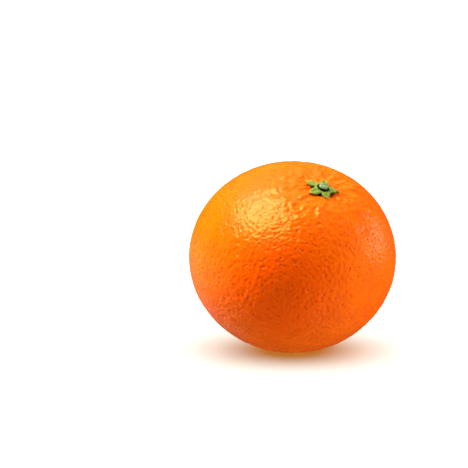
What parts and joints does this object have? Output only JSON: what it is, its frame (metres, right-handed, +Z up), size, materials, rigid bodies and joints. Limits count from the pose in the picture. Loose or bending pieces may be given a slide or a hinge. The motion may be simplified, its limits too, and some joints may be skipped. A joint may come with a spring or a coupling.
{
  "type": "orange",
  "caption": "Whole round orange fruit in its pitted peel, with a star-shaped dried calyx and a cut stalk stump, lying on a small flat spot.",
  "frame": {"origin": "centre of the small flat spot that the fruit rests on", "axes": "+Z up, +X the way the stalk end leans over, +Y to the left of that"},
  "size_m": [0.075, 0.075, 0.0687],
  "materials": {
    "peel": "waxy orange peel with fine pits, satin",
    "dry_sepal": "dried yellow-green sepals, matte",
    "stalk": "grey-green dry stalk with a healed top, matte"
  },
  "bodies": {
    "root": {"fruit": "peel", "calyx": "dry_sepal", "stem_stub": "stalk"}
  },
  "joints": []
}
